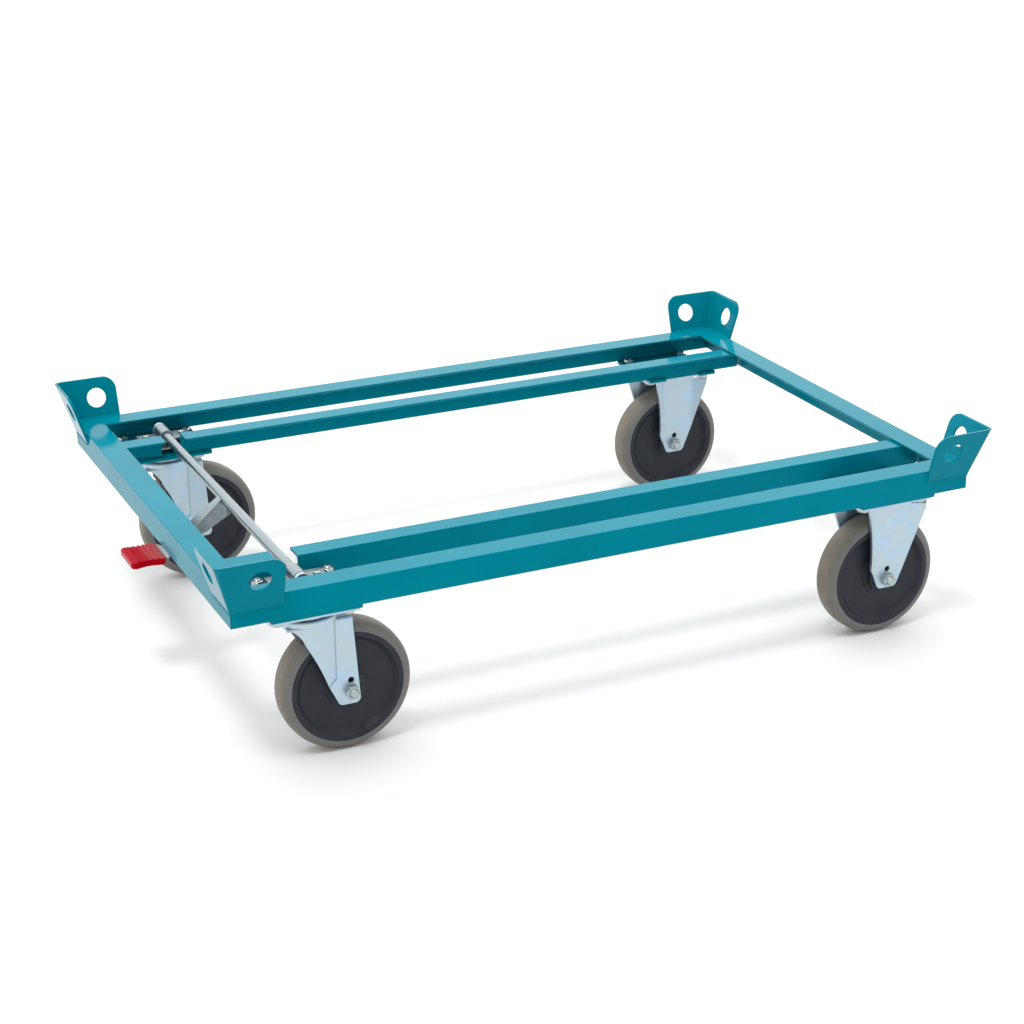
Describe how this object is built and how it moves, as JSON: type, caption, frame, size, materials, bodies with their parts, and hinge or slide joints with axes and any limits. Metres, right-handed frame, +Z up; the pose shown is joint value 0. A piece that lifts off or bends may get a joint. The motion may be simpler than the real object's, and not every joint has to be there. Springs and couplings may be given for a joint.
{
  "type": "pallet dolly",
  "caption": "Low pallet dolly: a welded angle frame with flared corner brackets, fixed castors at one end and pedal-braked swivel castors at the other.",
  "frame": {"origin": "on the floor under the middle of the welded frame", "axes": "+X along the dolly towards the fixed castors, +Y to the rear, +Z up"},
  "size_m": [1.2707, 0.8616, 0.345],
  "materials": {
    "teal_paint": "gloss paint",
    "zinc_plate": "bright zinc plate",
    "zinc_fasteners": "bright zinc plate",
    "bright_steel": "ground steel",
    "tyre_rubber": "matt grey rubber",
    "wheel_plastic": "satin moulded plastic",
    "bearing_bronze": "plain bush",
    "shoe_rubber": "matt rubber",
    "pedal_red": "gloss moulded plastic"
  },
  "bodies": {
    "frame": {"front_rail": "teal_paint", "rear_rail": "teal_paint", "left_rail": "teal_paint", "right_rail": "teal_paint", "front_inner_rail": "teal_paint", "front_inner_rail_stub": "teal_paint", "rear_inner_rail": "teal_paint", "rear_inner_rail_stub": "teal_paint", "corner_bracket_front_left": "teal_paint", "corner_bracket_front_right": "teal_paint", "corner_bracket_rear_right": "teal_paint", "corner_bracket_rear_left": "teal_paint", "mount_plate_front_left": "teal_paint", "mount_plate_rear_left": "teal_paint", "mount_plate_front_right": "teal_paint", "mount_plate_rear_right": "teal_paint", "swivel_plate_front": "zinc_plate", "fixed_fork_front": "zinc_plate", "bearing_bracket_front": "zinc_plate", "bearing_clip_front": "zinc_plate", "swivel_plate_rear": "zinc_plate", "fixed_fork_rear": "zinc_plate", "bearing_bracket_rear": "zinc_plate", "bearing_clip_rear": "zinc_plate", "fixed_axle_bolts": "zinc_fasteners", "castor_bolts": "zinc_fasteners", "castor_nuts": "zinc_fasteners", "clip_screws": "zinc_fasteners", "fixed_axle_sleeves": "bright_steel"},
    "swivel_front": {"swivel_fork_front": "zinc_plate", "kingpin_front": "zinc_plate", "swivel_balls_front": "bright_steel", "swivel_axle_bolt_front": "zinc_fasteners", "swivel_axle_sleeve_front": "bright_steel"},
    "brake_rod_front": {"push_rod_front": "zinc_plate", "brake_shoe_front": "shoe_rubber"},
    "swivel_rear": {"swivel_fork_rear": "zinc_plate", "kingpin_rear": "zinc_plate", "swivel_balls_rear": "bright_steel", "swivel_axle_bolt_rear": "zinc_fasteners", "swivel_axle_sleeve_rear": "bright_steel"},
    "brake_rod_rear": {"push_rod_rear": "zinc_plate", "brake_shoe_rear": "shoe_rubber"},
    "wheel_front_left": {"tyre_front_left": "tyre_rubber", "wheel_centre_front_left": "wheel_plastic", "wheel_bearing_front_left": "bearing_bronze"},
    "wheel_rear_left": {"tyre_rear_left": "tyre_rubber", "wheel_centre_rear_left": "wheel_plastic", "wheel_bearing_rear_left": "bearing_bronze"},
    "wheel_front_right": {"tyre_front_right": "tyre_rubber", "wheel_centre_front_right": "wheel_plastic", "wheel_bearing_front_right": "bearing_bronze"},
    "wheel_rear_right": {"tyre_rear_right": "tyre_rubber", "wheel_centre_rear_right": "wheel_plastic", "wheel_bearing_rear_right": "bearing_bronze"},
    "pedal": {"brake_shaft": "zinc_plate", "brake_cams": "zinc_plate", "pedal_lever": "zinc_plate", "pedal_pad": "pedal_red"}
  },
  "joints": [
    {"name": "pedal_press", "type": "hinge", "parent": "frame", "child": "pedal", "pos_m": [-0.48, 0, 0.2678], "axis": [0, -1, 0], "range_deg": [0, 25]},
    {"name": "swivel_turn_front", "type": "hinge", "parent": "frame", "child": "swivel_front", "pos_m": [-0.48, -0.344, 0.2], "axis": [0, 0, 1], "continuous": true},
    {"name": "brake_rod_slide_front", "type": "slide", "parent": "swivel_front", "child": "brake_rod_front", "axis": [0, 0, -1], "range_m": [0, 0.0034]},
    {"name": "wheel_spin_front_left", "type": "hinge", "parent": "swivel_front", "child": "wheel_front_left", "pos_m": [-0.425, -0.344, 0.1], "axis": [0, 1, 0], "continuous": true},
    {"name": "wheel_spin_front_right", "type": "hinge", "parent": "frame", "child": "wheel_front_right", "pos_m": [0.484, -0.344, 0.1], "axis": [0, 1, 0], "continuous": true},
    {"name": "swivel_turn_rear", "type": "hinge", "parent": "frame", "child": "swivel_rear", "pos_m": [-0.48, 0.344, 0.2], "axis": [0, 0, 1], "continuous": true},
    {"name": "brake_rod_slide_rear", "type": "slide", "parent": "swivel_rear", "child": "brake_rod_rear", "axis": [0, 0, -1], "range_m": [0, 0.0034]},
    {"name": "wheel_spin_rear_left", "type": "hinge", "parent": "swivel_rear", "child": "wheel_rear_left", "pos_m": [-0.425, 0.344, 0.1], "axis": [0, 1, 0], "continuous": true},
    {"name": "wheel_spin_rear_right", "type": "hinge", "parent": "frame", "child": "wheel_rear_right", "pos_m": [0.484, 0.344, 0.1], "axis": [0, 1, 0], "continuous": true}
  ],
  "couplings": [
    {"joint": "brake_rod_slide_front", "follows": "pedal_press", "m_per_rad": 0.00756},
    {"joint": "brake_rod_slide_rear", "follows": "pedal_press", "m_per_rad": 0.00756}
  ]
}
